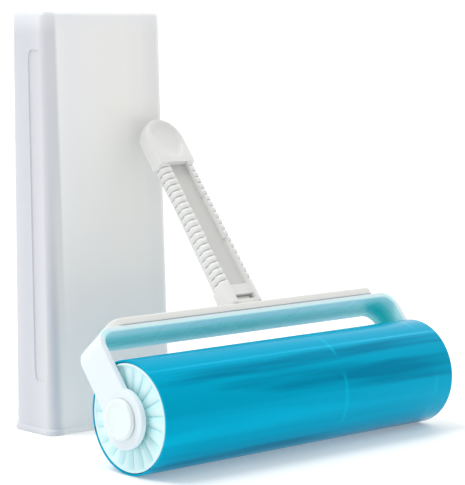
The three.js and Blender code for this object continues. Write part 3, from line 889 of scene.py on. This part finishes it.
def end_panel():
    """The cutter for the long sunk panel on the cover's narrow end."""
    def ring(height, draw_in):
        rise = height / COVER_HIGH.z
        left = COVER_FOOT["left"] + COVER_DRAFT["left"] * rise
        near = COVER_FOOT["front"] + COVER_DRAFT["front"] * rise + PANEL["edge"] + draw_in
        far = near + PANEL["wide"] - 2 * draw_in
        deep = left + PANEL["deep"]
        corners = [(left - 1, near - 0.8, 0.05), (deep, near, 0.35), (deep, far, 0.35),
                   (left - 1, far + 0.8, 0.05)]
        return [(x, y, height) for x, y in rounded_outline(corners, 4)]

    ends = [(drop * 3, inset) for drop, inset in quarter(PANEL["end_round"], 6)]
    levels = [(PANEL["low"] + drop, inset) for drop, inset in ends]
    levels += [(PANEL["high"] - drop, inset) for drop, inset in ends[::-1]]
    return loft([ring(h, inset) for h, inset in levels])


def dust_cover(material):
    cover = as_object("dust_cover_shell", loft(cover_rings()))
    cut(cover, end_panel())
    return place(cover, ON_FLOOR, "cover", "dust_cover", material, sharp=40)


# ---------- the camera, floor and lights ----------
CAMERA_FROM_AXLE = Vector((-0.62636, -0.64945, 0.16388))
CAMERA_YAW = math.radians(42.566)
CAMERA_DOWN = math.radians(6.002)
CAMERA_LENS = 148.45
LIGHTS_AIM = (0, 0, 0.08)
FLOOR_HALF = 6
FLOOR_GLOW = 0.24
KEY_POWER = 1.35
KEY_SPREAD = math.radians(28)
BRIGHT_SIDE = (0.55, 0.83, 0.0)
BRIGHT_LEVEL = 1.04
DIM_LEVEL = 0.58
KEY_FROM = (-0.34, 0.26, 0.90)


def camera():
    data = bpy.data.cameras.new("camera")
    data.lens = CAMERA_LENS
    data.sensor_width = 36
    data.clip_end = 50
    cam = bpy.data.objects.new("camera", data)
    cam.location = AXLE * MM + CAMERA_FROM_AXLE
    ahead = Vector((math.sin(CAMERA_YAW) * math.cos(CAMERA_DOWN),
                    math.cos(CAMERA_YAW) * math.cos(CAMERA_DOWN), -math.sin(CAMERA_DOWN)))
    cam.rotation_mode = "QUATERNION"
    cam.rotation_quaternion = ahead.to_track_quat("-Z", "Y")
    bpy.context.scene.collection.objects.link(cam)
    bpy.context.scene.camera = cam


def softbox(name, place_at, size, power, colour):
    data = bpy.data.lights.new(name, "AREA")
    data.shape = "RECTANGLE"
    data.size, data.size_y = size
    data.energy = power
    data.color = colour
    light = bpy.data.objects.new(name, data)
    light.location = place_at
    aim = Vector(LIGHTS_AIM) - Vector(place_at)
    light.rotation_mode = "QUATERNION"
    light.rotation_quaternion = aim.to_track_quat("-Z", "Y")
    bpy.context.scene.collection.objects.link(light)


def surroundings():
    """A plain bright studio, a little dimmer on the side away from BRIGHT_SIDE."""
    world = bpy.data.worlds.new("studio")
    world.use_nodes = True
    tree = world.node_tree
    where = tree.nodes.new("ShaderNodeTexCoord")
    facing = tree.nodes.new("ShaderNodeVectorMath")
    facing.operation = "DOT_PRODUCT"
    link(tree, where.outputs["Generated"], facing.inputs[0])
    facing.inputs[1].default_value = BRIGHT_SIDE
    level = remap(tree, facing.outputs["Value"], (-1.0, 0.6), (DIM_LEVEL, BRIGHT_LEVEL))
    link(tree, level, tree.nodes["Background"].inputs["Strength"])
    tree.nodes["Background"].inputs["Color"].default_value = (1, 1, 1, 1)
    bpy.context.scene.world = world


def studio():
    bm = bmesh.new()
    bmesh.ops.create_grid(bm, x_segments=1, y_segments=1, size=FLOOR_HALF)
    floor = as_object("studio_floor", bm)
    material, tree, shader = new_material(
        "pale_floor", Roughness=0.5, Specular_IOR_Level=0.2, Emission_Color=(1, 1, 1, 1),
        Emission_Strength=FLOOR_GLOW)
    speckle = ramp(tree, noise(tree, 8), ((0.3, (0.79, 0.79, 0.79)), (0.7, (0.81, 0.81, 0.81))))
    link(tree, speckle, shader.inputs["Base Color"])
    floor.data.materials.append(material)
    surroundings()
    sky = bpy.data.lights.new("ceiling_light", "SUN")
    sky.energy = KEY_POWER
    sky.angle = KEY_SPREAD
    ceiling = bpy.data.objects.new("ceiling_light", sky)
    ceiling.rotation_mode = "QUATERNION"
    ceiling.rotation_quaternion = (-Vector(KEY_FROM)).to_track_quat("-Z", "Y")
    bpy.context.scene.collection.objects.link(ceiling)
    softbox("left_box", (-1.2, 0.15, 0.6), (0.9, 1.1), 0.4, (0.98, 0.99, 1.0))
    softbox("top_strip", (0.85, 0.15, 0.9), (0.05, 1.6), 0.6, (0.95, 0.99, 1.0))
    bpy.context.scene.view_settings.view_transform = "Standard"


# ---------- the whole ----------
camera()
studio()

plate_white = moulded("plate_plastic", (0.78, 0.775, 0.745), (0.76, 0.755, 0.725))
cap_white = cap_material()
stub_white = moulded("stub_plastic", (0.78, 0.86, 0.865), (0.765, 0.85, 0.855), (0.26, 0.32))
tube_white = moulded("tube_plastic", (0.78, 0.86, 0.88), (0.76, 0.845, 0.87), (0.45, 0.52))

sticky_sleeve(sleeve_material())
core_tube(tube_white)
for side_name in ("left", "right"):
    end_cap(side_name, cap_white)
    axle_stub(side_name, stub_white)
yoke_frame(yoke_material())
spine_plate(plate_white)
release_catch(plate_white)
handle_grip(handle_material())
dust_cover(cover_material())
